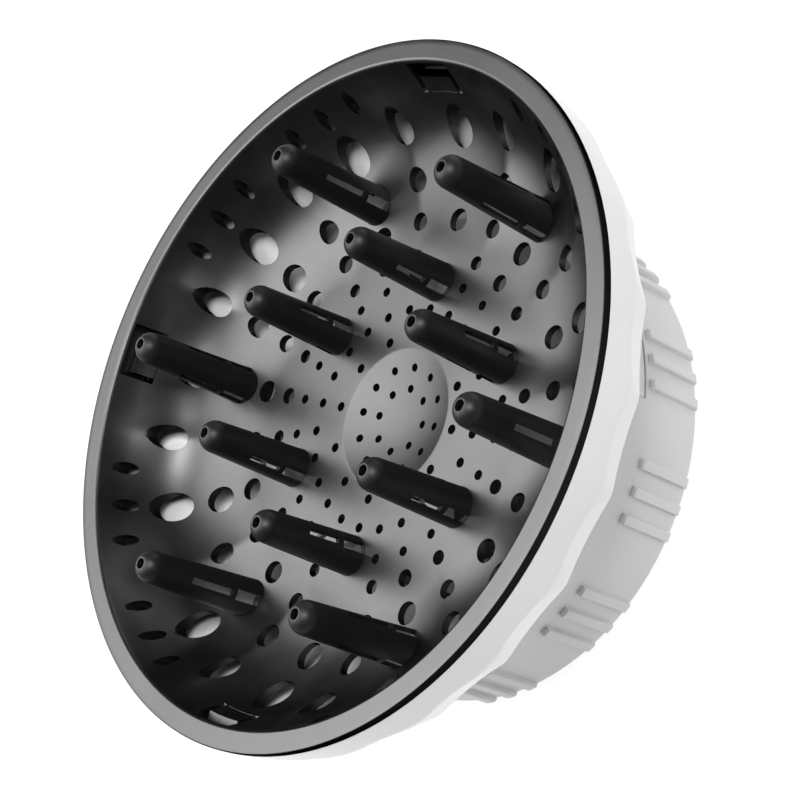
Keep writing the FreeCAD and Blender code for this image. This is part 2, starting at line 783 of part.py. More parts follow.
def make_jaw_guide():
    """Fixed plate behind the neck with six radial T-slots, open to the rear."""
    body = new_body("jaw_guide")
    plan = flat_sketch(body, "guide_plan", "guide_rear")
    disc(plan, "0", "0", "guide_radius")
    disc(plan, "0", "0", "guide_bore")
    raise_pad(body, "guide_plate", plan, "guide_front - guide_rear")

    for name, level, height, width in (
        ("stem_slot", "guide_rear", "tongue_low - guide_rear", "stem_width"),
        ("tongue_slot", "tongue_low - slide_play", "tongue_high - tongue_low + slide_play + slide_play",
         "tongue_width"),
    ):
        slot_plan = flat_sketch(body, f"{name}_plan", level)
        polygon(slot_plan, [
            ("guide_bore - 5", f"0 - {value(width) / 2 + value('slide_play')}"),
            ("guide_radius + 5", f"0 - {value(width) / 2 + value('slide_play')}"),
            ("guide_radius + 5", f"{value(width) / 2 + value('slide_play')}"),
            ("guide_bore - 5", f"{value(width) / 2 + value('slide_play')}"),
        ])
        slot = sink_pocket(body, name, slot_plan, height)
        around(body, slot, "jaw_count")

    for name, radius, height in (
        ("screw_hole", "guide_screw_radius", "guide_front - guide_rear"),
        ("screw_sink", "guide_sink_radius", "guide_head_high - guide_rear"),
    ):
        hole_plan = flat_sketch(body, f"{name}_plan", "guide_rear")
        hole_plan.AttachmentOffset = Placement(Vector(0, 0, value("guide_rear")),
                                               Rotation(Z_AXIS, INNER_FINGER_TURN))
        disc(hole_plan, "boss_place", "0", radius)
        hole = sink_pocket(body, name, hole_plan, height)
        around(body, hole, "jaw_count")
    return body


# ---------------------------------------------------------------- jaws


def make_jaw(label, azimuth):
    """Sliding jaw: T-shaped stem, cam pin, curved holder and the toe that stops the nozzle."""
    body = new_body(label)
    holder_side = upright_sketch(body, f"{label}_holder_side")
    polygon(holder_side, [
        ("pad_back_radius", "holder_low"),
        ("holder_back_radius", "holder_low"),
        ("holder_back_radius", "holder_high"),
        ("pad_back_radius", "holder_high"),
    ])
    spin(body, f"{label}_holder", "Revolution", holder_side, "holder_angle")

    toe_side = upright_sketch(body, f"{label}_toe_side")
    polygon(toe_side, [
        ("toe_radius", "pad_high"),
        ("pad_back_radius + 0.5", "pad_high"),
        ("pad_back_radius + 0.5", "holder_high"),
        ("toe_radius", "holder_high"),
    ])
    spin(body, f"{label}_toe", "Revolution", toe_side, "toe_angle")

    for name, low, high, width in (
        ("stem", "jaw_rear", "tongue_high", "stem_width"),
        ("tongue", "tongue_low", "tongue_high", "tongue_width"),
    ):
        plan = flat_sketch(body, f"{label}_{name}_plan", low)
        half = value(width) / 2
        polygon(plan, [
            ("pad_back_radius + 1", f"0 - {half}"),
            ("jaw_outer_end - 0.4", f"0 - {half}"),
            ("jaw_outer_end - 0.4", f"{half}"),
            ("pad_back_radius + 1", f"{half}"),
        ])
        raise_pad(body, f"{label}_{name}", plan, f"{high} - {low}")

    pin_plan = flat_sketch(body, f"{label}_pin_plan", "pin_low")
    disc(pin_plan, "pin_place", "0", "pin_radius")
    raise_pad(body, f"{label}_pin", pin_plan, "jaw_rear + 1 - pin_low")
    body.Placement = turned(azimuth)
    return body


def make_jaw_pad(label, azimuth):
    """Silicone pad on the jaw's hollow side, flared where the nozzle enters."""
    body = new_body(label)
    side = upright_sketch(body, f"{label}_side")
    polygon(side, [
        ("clamp_radius + 0.8", "pad_low"),
        ("pad_back_radius", "pad_low"),
        ("pad_back_radius", "pad_high"),
        ("clamp_radius", "pad_high"),
        ("clamp_radius", "pad_low + 0.8"),
    ])
    spin(body, f"{label}_block", "Revolution", side, "pad_angle")
    body.Placement = turned(azimuth)
    return body


# ---------------------------------------------------------------- fasteners and seal


def screw_ring(label, place, shank, end, head, head_low, head_high):
    """Six pan-head screws as one group of separate solids."""
    profile = Part.makePolygon([
        Vector(0, 0, head_low),
        Vector(head * 0.8, 0, head_low),
        Vector(head, 0, head_low + 0.5),
        Vector(head, 0, head_high),
        Vector(shank, 0, head_high),
        Vector(shank, 0, end - shank),
        Vector(0, 0, end),
        Vector(0, 0, head_low),
    ])
    screw = Part.Face(profile).revolve(Vector(), Z_AXIS, 360)
    slot_width = head * 0.28
    for quarter in (0.0, 90.0):
        arm = Part.makeBox(head * 1.2, slot_width, 0.8, Vector(-head * 0.6, -slot_width / 2, head_low))
        arm.rotate(Vector(), Z_AXIS, quarter)
        screw = screw.cut(arm)
    copies = []
    for index in range(6):
        turn = math.radians(INNER_FINGER_TURN + index * FINGER_STEP)
        copy = screw.copy()
        copy.translate(Vector(place * math.cos(turn), place * math.sin(turn), 0))
        copies.append(copy)
    return plain_feature(label, Part.makeCompound(copies))


def make_seal():
    seal = doc.addObject("Part::Torus", "friction_o_ring")
    seal.Label = "friction_o_ring"
    seal.setExpression("Radius1", formula("seal_ring_radius"))
    seal.setExpression("Radius2", formula("seal_tube_radius"))
    middle = (value("seal_low") + value("seal_high")) / 2
    seal.Placement = Placement(Vector(0, 0, middle), Rotation())
    return seal


# ---------------------------------------------------------------- assembly

nodes = [
    make_finger_bowl(),
    make_outer_shell(),
    make_jaw_guide(),
    make_seal(),
    make_grip_ring(),
    make_cam_plate(),
]
nodes.append(screw_ring("guide_screws", value("boss_place"), value("guide_screw_radius"),
                        value("guide_screw_end"), value("guide_head_radius"),
                        value("guide_head_low"), value("guide_head_high")))
nodes.append(screw_ring("cam_screws", value("cam_screw_place"), value("cam_screw_radius"),
                        value("cam_screw_end"), value("cam_head_radius"),
                        value("cam_head_low"), value("cam_head_high")))
for index in range(6):
    azimuth = FINGER_STEP * index
    nodes.append(make_finger(f"finger_outer_{index + 1}", "outer", azimuth))
    nodes.append(make_finger(f"finger_inner_{index + 1}", "inner", azimuth + INNER_FINGER_TURN))
    nodes.append(make_jaw(f"jaw_{index + 1}", azimuth))
    nodes.append(make_jaw_pad(f"jaw_pad_{index + 1}", azimuth))
doc.recompute()

failed = [item.Name for item in doc.Objects if "Invalid" in item.State or "Error" in item.State]
if failed:
    raise RuntimeError(f"objects failed: {failed}")
for node in nodes:
    if node.Shape.isNull() or not node.Shape.isValid():
        raise RuntimeError(f"{node.Label} has no valid shape")

os.makedirs("parts", exist_ok=True)
for node in nodes:
    node.Shape.exportStep(os.path.join("parts", f"{node.Label}.step"))
    print(f"{node.Label}: {len(node.Shape.Solids)} solid(s), {node.Shape.Volume / 1000:.2f} cm3")
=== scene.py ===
import math

import bpy
import numpy as np
from mathutils import Matrix, Vector


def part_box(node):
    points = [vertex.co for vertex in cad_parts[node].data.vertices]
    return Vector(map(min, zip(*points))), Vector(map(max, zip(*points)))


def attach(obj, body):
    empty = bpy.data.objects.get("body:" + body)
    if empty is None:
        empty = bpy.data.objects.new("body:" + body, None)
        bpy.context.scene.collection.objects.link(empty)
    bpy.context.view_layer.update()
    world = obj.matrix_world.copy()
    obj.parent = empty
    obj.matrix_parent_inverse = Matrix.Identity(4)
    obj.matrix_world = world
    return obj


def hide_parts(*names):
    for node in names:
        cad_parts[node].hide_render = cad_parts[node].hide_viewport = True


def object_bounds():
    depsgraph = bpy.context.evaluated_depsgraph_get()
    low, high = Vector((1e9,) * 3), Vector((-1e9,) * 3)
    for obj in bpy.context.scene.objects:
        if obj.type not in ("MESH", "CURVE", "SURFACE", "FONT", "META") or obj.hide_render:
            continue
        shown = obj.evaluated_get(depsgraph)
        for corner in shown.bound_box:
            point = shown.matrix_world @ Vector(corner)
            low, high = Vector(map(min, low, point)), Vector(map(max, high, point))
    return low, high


# Universal hair-dryer diffuser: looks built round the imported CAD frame.
# Sizes below are millimetres in the frame's axes; meshes are written in metres.

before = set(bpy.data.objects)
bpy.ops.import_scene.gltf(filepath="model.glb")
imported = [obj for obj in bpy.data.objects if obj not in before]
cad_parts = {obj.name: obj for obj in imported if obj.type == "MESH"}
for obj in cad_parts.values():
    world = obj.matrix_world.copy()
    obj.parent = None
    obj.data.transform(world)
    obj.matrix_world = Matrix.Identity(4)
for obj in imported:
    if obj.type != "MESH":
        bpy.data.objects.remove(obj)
cad_low, cad_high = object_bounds()
MM = 0.001

BOWL_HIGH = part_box("finger_bowl")[1]
RING_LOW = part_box("grip_ring")[0]
RIM_RADIUS = BOWL_HIGH.x / MM
RIM_TOP = BOWL_HIGH.z / MM
RING_REAR = RING_LOW.z / MM

# ---------------------------------------------------------------- mesh helpers


def new_object(name, mesh):
    """Object with the given data, linked to the scene."""
    obj = bpy.data.objects.new(name, mesh)
    bpy.context.scene.collection.objects.link(obj)
    return obj


def mesh_from(name, points, faces):
    """Mesh from millimetre points."""
    mesh = bpy.data.meshes.new(name)
    mesh.from_pydata([tuple(point) for point in np.asarray(points) * MM], [], faces)
    mesh.update()
    return mesh


def ring_grid(points):
    """Faces of a grid whose rows and columns both close: a lathed solid."""
    rows, columns = points.shape[:2]
    faces = []
    for row in range(rows):
        below = ((row + 1) % rows) * columns
        here = row * columns
        for column in range(columns):
            after = (column + 1) % columns
            faces.append((here + column, here + after, below + after, below + column))
    return points.reshape(-1, 3), faces


def rounded(corners, steps=5):
    """Closed outline of (radius, height, rounding) corners, each rounded by an arc."""
    outline = []
    count = len(corners)
    for index, (across, up, rounding) in enumerate(corners):
        corner = np.array([across, up])
        if rounding <= 0.0:
            outline.append(corner)
            continue
        before = np.array(corners[index - 1][:2]) - corner
        after = np.array(corners[(index + 1) % count][:2]) - corner
        reach_before = np.linalg.norm(before)
        reach_after = np.linalg.norm(after)
        before = before / reach_before
        after = after / reach_after
        half = math.acos(max(-1.0, min(1.0, float(before @ after)))) / 2
        setback = min(rounding / math.tan(half), 0.48 * reach_before, 0.48 * reach_after)
        radius = setback * math.tan(half)
        middle = before + after
        centre = corner + middle / np.linalg.norm(middle) * (radius / math.sin(half))
        start = corner + before * setback - centre
        end = corner + after * setback - centre
        sweep = math.pi - 2 * half
        for step in range(steps + 1):
            share = step / steps
            arm = start * math.sin((1 - share) * sweep) + end * math.sin(share * sweep)
            outline.append(centre + arm / math.sin(sweep))
    return np.array(outline)


def resample(outline, longest):
    """Closed outline with no edge longer than the given length."""
    dense = []
    count = len(outline)
    for index in range(count):
        start = outline[index]
        end = outline[(index + 1) % count]
        parts = max(1, math.ceil(np.linalg.norm(end - start) / longest))
        for step in range(parts):
            dense.append(start + (end - start) * step / parts)
    return np.array(dense)


def lathe(name, outline, segments, shape=None):
    """Solid of revolution of a closed outline, bent by shape(radius, height, azimuth) if given."""
    azimuth = np.arange(segments) * 2 * math.pi / segments
    radius = np.repeat(outline[:, 0:1], segments, axis=1)
    height = np.repeat(outline[:, 1:2], segments, axis=1)
    turn = np.repeat(azimuth[None, :], len(outline), axis=0)
    if shape is not None:
        radius, height = shape(radius, height, turn)
    points = np.stack([radius * np.cos(turn), radius * np.sin(turn), height], axis=-1)
    points, faces = ring_grid(points)
    return new_object(name, mesh_from(name, points, faces))


def prism(outline, low, high):
    """Points and faces of an upright prism over a closed outline."""
    count = len(outline)
    points = [(x, y, low) for x, y in outline] + [(x, y, high) for x, y in outline]
    faces = [tuple(reversed(range(count))), tuple(range(count, 2 * count))]
    for index in range(count):
        after = (index + 1) % count
        faces.append((index, after, count + after, count + index))
    return np.array(points), faces


def merged(parts):
    """One set of points and faces from several."""
    points = []
    faces = []
    shift = 0
    for part_points, part_faces in parts:
        points.append(part_points)
        faces += [tuple(corner + shift for corner in face) for face in part_faces]
        shift += len(part_points)
    return np.concatenate(points), faces


def turned(points, azimuth, place=(0.0, 0.0, 0.0)):
    """Points moved to a place and turned about Z by degrees."""
    turn = math.radians(azimuth)
    rotation = np.array([[math.cos(turn), -math.sin(turn), 0.0],
                         [math.sin(turn), math.cos(turn), 0.0],
                         [0.0, 0.0, 1.0]])
    return (np.asarray(points) + np.array(place)) @ rotation.T


def block(inner, outer, half, low, high):
    """Box along X between two radii, of half-width half."""
    return prism([(inner, -half), (outer, -half), (outer, half), (inner, half)], low, high)


def circle_outline(radius, count):
    """Regular polygon that stands for a circle."""
    angle = np.arange(count) * 2 * math.pi / count
    return np.stack([radius * np.cos(angle), radius * np.sin(angle)], axis=-1)


def carve(obj, parts, operation="DIFFERENCE"):
    """Boolean of an object with closed parts, applied to its mesh."""
    points, faces = merged(parts)
    tool = new_object(f"{obj.name}_tool", mesh_from("tool", points, faces))
    modifier = obj.modifiers.new("carve", "BOOLEAN")
    modifier.operation = operation
    modifier.object = tool
    modifier.solver = "MANIFOLD"
    bake_modifiers(obj)
    bpy.data.objects.remove(tool)
    return obj


def bake_modifiers(obj):
    """Apply an object's modifiers to its mesh."""
    graph = bpy.context.evaluated_depsgraph_get()
    graph.update()
    baked = bpy.data.meshes.new_from_object(obj.evaluated_get(graph))
    obj.modifiers.clear()
    obj.data = baked
    obj.data.name = obj.name


def smooth(obj, degrees=35.0):
    """Smooth shading, with edges sharper than the given angle kept."""
    obj.data.shade_smooth()
    obj.data.set_sharp_from_angle(angle=math.radians(degrees))
    return obj


# ---------------------------------------------------------------- materials


class Nodes:
    """Shader nodes of one new material, with calls that add and link them."""

    def __init__(self, name):
        self.material = bpy.data.materials.new(name)
        self.material.use_nodes = True
        self.tree = self.material.node_tree
        self.shader = self.tree.nodes["Principled BSDF"]
        self.place = self.add("ShaderNodeTexCoord").outputs["Object"]

    def add(self, kind, **settings):
        """New node with its settings."""
        node = self.tree.nodes.new(kind)
        for key, setting in settings.items():
            setattr(node, key, setting)
        return node

    def link(self, source, target):
        self.tree.links.new(source, target)

    def noise(self, scale, detail=3.0, roughness=0.55):
        """Noise texture: scale is in grains per metre."""
        node = self.add("ShaderNodeTexNoise")
        node.inputs["Scale"].default_value = scale
        node.inputs["Detail"].default_value = detail
        node.inputs["Roughness"].default_value = roughness
        self.link(self.place, node.inputs["Vector"])
        return node.outputs["Fac"]

    def ramp(self, source, stops):
        """Colour ramp from (place, brightness) pairs."""
        node = self.add("ShaderNodeValToRGB")
        elements = node.color_ramp.elements
        for index, (place, level) in enumerate(stops):
            element = elements[index] if index < len(elements) else elements.new(place)
            element.position = place
            shade = level if isinstance(level, tuple) else (level, level, level)
            element.color = (*shade, 1.0)
        self.link(source, node.inputs["Fac"])
        return node.outputs["Color"]

    def bump(self, source, strength, distance, normal=None):
        """Bump from a height, laid over another normal if one is given."""
        node = self.add("ShaderNodeBump")
        node.inputs["Strength"].default_value = strength
        node.inputs["Distance"].default_value = distance
        self.link(source, node.inputs["Height"])
        if normal is not None:
            self.link(normal, node.inputs["Normal"])
        return node.outputs["Normal"]


def moulded_plastic(name, dark, light, rough_low, rough_high, grain, grain_depth,
                    specular=0.5, coat=0.0):
    """Injection-moulded plastic: faint colour drift, uneven gloss and a fine spark-eroded grain."""
    nodes = Nodes(name)
    drift = nodes.noise(35.0, 2.0)
    nodes.link(nodes.ramp(drift, [(0.3, dark), (0.7, light)]), nodes.shader.inputs["Base Color"])
    haze = nodes.noise(140.0, 4.0)
    nodes.link(nodes.ramp(haze, [(0.3, rough_low), (0.7, rough_high)]), nodes.shader.inputs["Roughness"])
    fine = nodes.bump(nodes.noise(grain, 2.0), grain_depth, 0.00006)
    wave = nodes.bump(nodes.noise(28.0, 1.0), 0.06, 0.0006, fine)
    nodes.link(wave, nodes.shader.inputs["Normal"])
    nodes.shader.inputs["Specular IOR Level"].default_value = specular
    nodes.shader.inputs["Coat Weight"].default_value = coat
    nodes.shader.inputs["Coat Roughness"].default_value = 0.12
    return nodes.material


# millimetres in from the rim's edge where the gunmetal fades to near black: painted shade on the rim's outer
# edge and side
RIM_PAINTED_SHADE_START = 0.30
RIM_PAINTED_SHADE_END = 0.05


def gunmetal_satin():
    """Satin gunmetal coat with an orange-peel wave; the base colour turns near black over the rim's outer
    edge and side, painted shade of the gap against the shell.
    """
    nodes = Nodes("gunmetal_satin")
    apart = nodes.add("ShaderNodeVectorMath", operation="MULTIPLY")
    apart.inputs[1].default_value = (1.0, 1.0, 0.0)
    nodes.link(nodes.place, apart.inputs[0])
    reach = nodes.add("ShaderNodeVectorMath", operation="LENGTH")
    nodes.link(apart.outputs["Vector"], reach.inputs[0])
    # painted shade: the base colour goes near black towards the rim's outer edge
    edge = nodes.add("ShaderNodeMapRange", interpolation_type="SMOOTHSTEP")
    nodes.link(reach.outputs["Value"], edge.inputs["Value"])
    edge.inputs["From Min"].default_value = (RIM_RADIUS - RIM_PAINTED_SHADE_START) * MM
    edge.inputs["From Max"].default_value = (RIM_RADIUS - RIM_PAINTED_SHADE_END) * MM
    coat = nodes.ramp(nodes.noise(35.0, 2.0), [(0.3, 0.086), (0.7, 0.096)])
    mix = nodes.add("ShaderNodeMix", data_type="RGBA")
    nodes.link(edge.outputs["Result"], mix.inputs["Factor"])
    nodes.link(coat, mix.inputs["A"])
    mix.inputs["B"].default_value = (0.012, 0.012, 0.012, 1.0)
    nodes.link(mix.outputs["Result"], nodes.shader.inputs["Base Color"])
    haze = nodes.ramp(nodes.noise(140.0, 4.0), [(0.3, 0.35), (0.7, 0.40)])
    nodes.link(haze, nodes.shader.inputs["Roughness"])
    grain = nodes.bump(nodes.noise(2600.0, 2.0), 0.18, 0.00006)
    nodes.link(nodes.bump(nodes.noise(40.0, 1.0), 0.05, 0.0005, grain), nodes.shader.inputs["Normal"])
    nodes.shader.inputs["Metallic"].default_value = 1.0
    nodes.shader.inputs["Specular Tint"].default_value = (0.09, 0.09, 0.09, 1.0)
    return nodes.material


def silicone_rubber():
    """Matt dark rubber with a fine grain."""
    nodes = Nodes("silicone_rubber")
    nodes.link(nodes.ramp(nodes.noise(60.0), [(0.3, 0.045), (0.7, 0.065)]), nodes.shader.inputs["Base Color"])
    nodes.link(nodes.ramp(nodes.noise(300.0), [(0.3, 0.55), (0.7, 0.72)]), nodes.shader.inputs["Roughness"])
    nodes.link(nodes.bump(nodes.noise(2600.0), 0.2, 0.0001), nodes.shader.inputs["Normal"])
    nodes.shader.inputs["Sheen Weight"].default_value = 0.15
    return nodes.material


def screw_steel():
    """Brushed steel with uneven gloss."""
    nodes = Nodes("screw_steel")
    nodes.link(nodes.ramp(nodes.noise(500.0), [(0.3, 0.5), (0.7, 0.68)]), nodes.shader.inputs["Base Color"])
    nodes.link(nodes.ramp(nodes.noise(900.0), [(0.3, 0.25), (0.7, 0.42)]), nodes.shader.inputs["Roughness"])
    nodes.link(nodes.bump(nodes.noise(4000.0), 0.15, 0.00005), nodes.shader.inputs["Normal"])
    nodes.shader.inputs["Metallic"].default_value = 1.0
    return nodes.material


BOWL_PLASTIC = gunmetal_satin()
FINGER_PLASTIC = moulded_plastic("finger_plastic", 0.006, 0.009, 0.42, 0.48, 2400.0, 0.2, specular=0.4)
SHELL_PLASTIC = moulded_plastic("shell_plastic", 0.74, 0.78, 0.20, 0.26, 1800.0, 0.08, coat=0.3)
# pale colour for the fingers' inner walls: painted light for the brightness seen through the slits
FINGER_PAINTED_LIGHT = moulded_plastic("finger_inside_painted_light", 0.72, 0.78, 0.40, 0.48, 2200.0, 0.1)
GRIP_PLASTIC = moulded_plastic("grip_plastic", 0.70, 0.74, 0.36, 0.44, 2200.0, 0.2, specular=0.45)
MECHANISM_PLASTIC = moulded_plastic("mechanism_plastic", 0.50, 0.56, 0.42, 0.52, 2200.0, 0.25)
SEAL_RUBBER = silicone_rubber()
STEEL = screw_steel()


def paint(obj, *materials):
    """Give an object its materials; faces keep their material numbers."""
    numbers = [face.material_index for face in obj.data.polygons]
    obj.data.materials.clear()
    for material in materials:
        obj.data.materials.append(material)
    if len(materials) > 1:
        obj.data.polygons.foreach_set("material_index", numbers)


# ---------------------------------------------------------------- finger bowl

PETALS = 12
PETAL_AXIS = 34.0
PETAL_FLOOR = 13.7
FLOOR = 38.3
BOWL_WALL = 2.0
# reach from the petal's axis, and height, up the petal's section
PETAL_KNOTS = [(PETAL_FLOOR, FLOOR), (25.15, 40.25), (36.3, 46.7), (43.1, 57.0), (46.1, 64.0)]
PETAL_COLUMNS = 50
CREASE_SOFT_SHARE = 0.07
DISH_RADIUS = 17.5
DISH_DEPTH = 2.5
DISH_EDGE = 0.35
CENTRE_HOLE = 0.6
MOUTH_RADIUS = 80.65
# across from the mouth and down from the rim's top, up the mouth's fine bevel
MOUTH_BEVEL = [(-0.32, 0.16), (-0.12, 0.03), (0.02, 0.0), (0.10, 0.0)]
RIM_BEVEL = 0.4
RIM_THICKNESS = 2.0
RIM_UNDERSIDE_RADIUS = 83.6
CREASE_FADE_LOW = 51.0
CREASE_FADE_HIGH = 63.8
FINGER_PLACES = [(59.07, 60.0 * step, "outer") for step in range(6)]
FINGER_PLACES += [(34.28, 30.0 + 60.0 * step, "inner") for step in range(6)]
SOCKET_RADIUS = 4.95
SOCKET_PLAY = 0.03
DRILL_LOW = 20.0
DRILL_HIGH = 80.0
# outer radius, half-width, low and high of the window in the wall and of the hook's way behind it
LATCH_WINDOWS = [(80.6, 6.8, 55.1, 63.1), (84.0, 5.3, 55.0, 59.4)]
LATCH_WINDOW_INNER = 72.0
# inner and outer radius, half-width, low and high
LATCH_POCKET = (79.9, 82.0, 7.7, 54.2, 62.4)
LATCH_HOOK = (79.2, 84.0, 4.4, 55.5, 58.6)
LATCH_AZIMUTHS = (0.0, 90.0, 180.0, 270.0)


def petal_profile(count):
    """Smooth curve through the petal's section: its points and their outward normals."""
    knots = np.array(PETAL_KNOTS)
    chord = np.concatenate([[0.0], np.cumsum(np.linalg.norm(np.diff(knots, axis=0), axis=1))])
    slopes = np.gradient(knots, chord, axis=0)
    slopes[0] = (1.0, 0.0)
    spots = []
    for place in np.linspace(0.0, chord[-1], count):
        span = min(int(np.searchsorted(chord, place, side="right")) - 1, len(knots) - 2)
        length = chord[span + 1] - chord[span]
        t = (place - chord[span]) / length
        spots.append((2 * t ** 3 - 3 * t ** 2 + 1) * knots[span]
                     + (t ** 3 - 2 * t ** 2 + t) * length * slopes[span]
                     + (3 * t ** 2 - 2 * t ** 3) * knots[span + 1]
                     + (t ** 3 - t ** 2) * length * slopes[span + 1])
    spots = np.array(spots)
    tangent = np.gradient(spots, axis=0)
    tangent = tangent / np.linalg.norm(tangent, axis=1, keepdims=True)
    return spots, np.stack([tangent[:, 1], -tangent[:, 0]], axis=-1)


def petal_radius(reach, azimuth):
    """Distance from the bowl's axis to a petal of that reach, with a softened crease between petals."""
    half = math.pi / PETALS
    turn = np.abs((azimuth + half) % (2 * half) - half)
    soft = half * CREASE_SOFT_SHARE
    near = np.clip((turn - (half - soft)) / soft, 0.0, 1.0)
    turn = turn - near ** 2 * soft * 0.5
    across = PETAL_AXIS * np.sin(turn)
    return PETAL_AXIS * np.cos(turn) + np.sqrt(np.maximum(reach ** 2 - across ** 2, 0.0))


def wall_radius(reach, height, azimuth):
    """Bowl wall at a height: petals whose creases fade out into the round mouth."""
    petals = petal_radius(np.array(reach), azimuth)
    share = min(1.0, max(0.0, (height - CREASE_FADE_LOW) / (CREASE_FADE_HIGH - CREASE_FADE_LOW)))
    fade = share ** 2 * (3 - 2 * share)
    return petals + (PETAL_AXIS + reach - petals) * fade


def build_bowl():
    """The bowl without its holes: rows up the inside, over the rim and down the outside."""
    segments = PETALS * PETAL_COLUMNS
    azimuth = np.arange(segments) * 2 * math.pi / segments
    rows = []

    def add_row(radius, height):
        """One row round the axis, at a radius that may vary with the azimuth."""
        radius = np.broadcast_to(radius, azimuth.shape)
        height = np.broadcast_to(height, azimuth.shape)
        rows.append(np.stack([radius * np.cos(azimuth), radius * np.sin(azimuth), height], axis=-1))

    dish_sphere = (DISH_RADIUS ** 2 + DISH_DEPTH ** 2) / (2 * DISH_DEPTH)
    dish_centre = FLOOR - DISH_DEPTH + dish_sphere
    for radius in np.linspace(CENTRE_HOLE, DISH_RADIUS - 0.5, 24):
        add_row(radius, dish_centre - math.sqrt(dish_sphere ** 2 - radius ** 2))
    for step in range(6):
        share = step / 5
        radius = DISH_RADIUS - DISH_EDGE + 2 * DISH_EDGE * share
        add_row(radius, FLOOR - 0.10 * (1 - share) ** 2)
    edge = petal_radius(np.array(PETAL_FLOOR), azimuth)
    for share in np.linspace(0.0, 1.0, 30)[1:-1]:
        add_row(DISH_RADIUS + DISH_EDGE + (edge - DISH_RADIUS - DISH_EDGE) * share, FLOOR)
    spots, normals = petal_profile(64)
    for reach, height in spots:
        add_row(wall_radius(reach, height, azimuth), height)
    for across, down in MOUTH_BEVEL:
        add_row(MOUTH_RADIUS + across, RIM_TOP - down)
    for radius in np.linspace(MOUTH_RADIUS + 1.0, RIM_RADIUS - RIM_BEVEL, 4):
        add_row(radius, RIM_TOP)
    for step in range(1, 4):
        turn = math.radians(90.0 * step / 3)
        add_row(RIM_RADIUS - RIM_BEVEL + RIM_BEVEL * math.sin(turn),
                RIM_TOP - RIM_BEVEL + RIM_BEVEL * math.cos(turn))
    add_row(RIM_RADIUS, RIM_TOP - RIM_THICKNESS)
    add_row(RIM_UNDERSIDE_RADIUS, RIM_TOP - RIM_THICKNESS)
    outer = spots + normals * BOWL_WALL
    for reach, height in outer[::-2]:
        if height <= RIM_TOP - RIM_THICKNESS - 0.2:
            add_row(wall_radius(reach, height, azimuth), height)
    for share in (0.85, 0.6, 0.3):
        add_row(DISH_RADIUS + 0.5 + (edge - DISH_RADIUS) * share, FLOOR - BOWL_WALL)
    for radius in np.linspace(DISH_RADIUS, CENTRE_HOLE, 10):
        add_row(radius, dish_centre - math.sqrt((dish_sphere + BOWL_WALL) ** 2 - radius ** 2))

    grid = np.array(rows)
    count, columns = grid.shape[:2]
    points, faces = grid.reshape(-1, 3), []
    for row in range(count - 1):
        for column in range(columns):
            after = (column + 1) % columns
            here = row * columns
            faces.append((here + column, here + after, here + columns + after, here + columns + column))
    top_centre = len(points)
    points = np.concatenate([points, [[0, 0, FLOOR - DISH_DEPTH], [0, 0, FLOOR - DISH_DEPTH - BOWL_WALL]]])
    last = (count - 1) * columns
    for column in range(columns):
        after = (column + 1) % columns
        faces.append((top_centre, after, column))
        faces.append((top_centre + 1, last + column, last + after))
    return new_object("bowl_dish", mesh_from("bowl_dish", points, faces))


def hole_circles():
    """Air holes of the bowl: ring radius, hole radius and azimuths."""
    twelfths = [30.0 * step for step in range(12)]
    between = [15.0 + 30.0 * step for step in range(12)]
    outer_lines = [60.0 * step for step in range(6)]
    inner_lines = [30.0 + 60.0 * step for step in range(6)]
    clear_lines = [line for line in twelfths if line % 90.0]
    triple = [line + shift for line in clear_lines for shift in (-7.5, 0.0, 7.5)]
    return [
        (7.85, 1.0, [45.0 * step for step in range(8)]),
        (12.95, 1.0, twelfths),
        (20.3, 1.2, twelfths),
        (27.4, 1.2, [15.0 * step for step in range(24)]),
        (34.6, 1.2, between + outer_lines),
        (41.3, 1.75, between),
        (41.3, 2.1, outer_lines),
        (50.0, 2.85, twelfths),
        (50.2, 2.3, between),
        (59.5, 3.5, inner_lines),
        (60.2, 2.9, between),
        (70.3, 4.0, twelfths),
        (71.0, 3.3, between),
        (77.0, 1.6, triple),
    ]


def pierce_bowl(obj):
    """Air holes, finger sockets and latch windows."""
    drills = []
    for place, radius, azimuths in hole_circles():
        points, faces = prism(circle_outline(radius, 28 if radius < 1.5 else 48), DRILL_LOW, DRILL_HIGH)
        drills += [(turned(points, azimuth, (place, 0, 0)), faces) for azimuth in azimuths]
    points, faces = prism(circle_outline(SOCKET_RADIUS + SOCKET_PLAY, 64), DRILL_LOW, DRILL_HIGH)
    drills += [(turned(points, azimuth, (place, 0, 0)), faces) for place, azimuth, row in FINGER_PLACES]
    for reach, half, low, high in LATCH_WINDOWS:
        points, faces = block(LATCH_WINDOW_INNER, reach, half, low, high)
        drills += [(turned(points, azimuth), faces) for azimuth in LATCH_AZIMUTHS]
    return carve(obj, drills)


def add_latch_pockets(obj):
    """Dark pockets behind the bowl's wall that take the shell's hooks."""
    points, faces = block(*LATCH_POCKET)
    return carve(obj, [(turned(points, azimuth), faces) for azimuth in LATCH_AZIMUTHS], "UNION")


def make_bowl():
    """The finger bowl's visual piece."""
    obj = pierce_bowl(add_latch_pockets(build_bowl()))
    smooth(obj, 38.0)
    paint(obj, BOWL_PLASTIC)
    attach(obj, "root")
    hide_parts("finger_bowl")


# ---------------------------------------------------------------- fingers

FINGER_ROWS = {
    # top, slit low and high, vent low and high
    "outer": (74.1, 48.3, 60.8, 39.4, 47.1),
    "inner": (68.5, 46.3, 55.3, 38.4, 44.8),
}
TIP_RADIUS = 3.95
TIP_FLAT = 1.62
FINGER_WALL = 1.0
AIR_HOLE = 1.25
FOOT_RADIUS = 6.5
FOOT_TOP = 36.3
FOOT_LOW = 34.8
ROOT_HEIGHT = 2.0
AIR_HOLE_EDGE = 0.08
SLIT_WIDTH = 1.6
VENT_WIDTH = 2.6


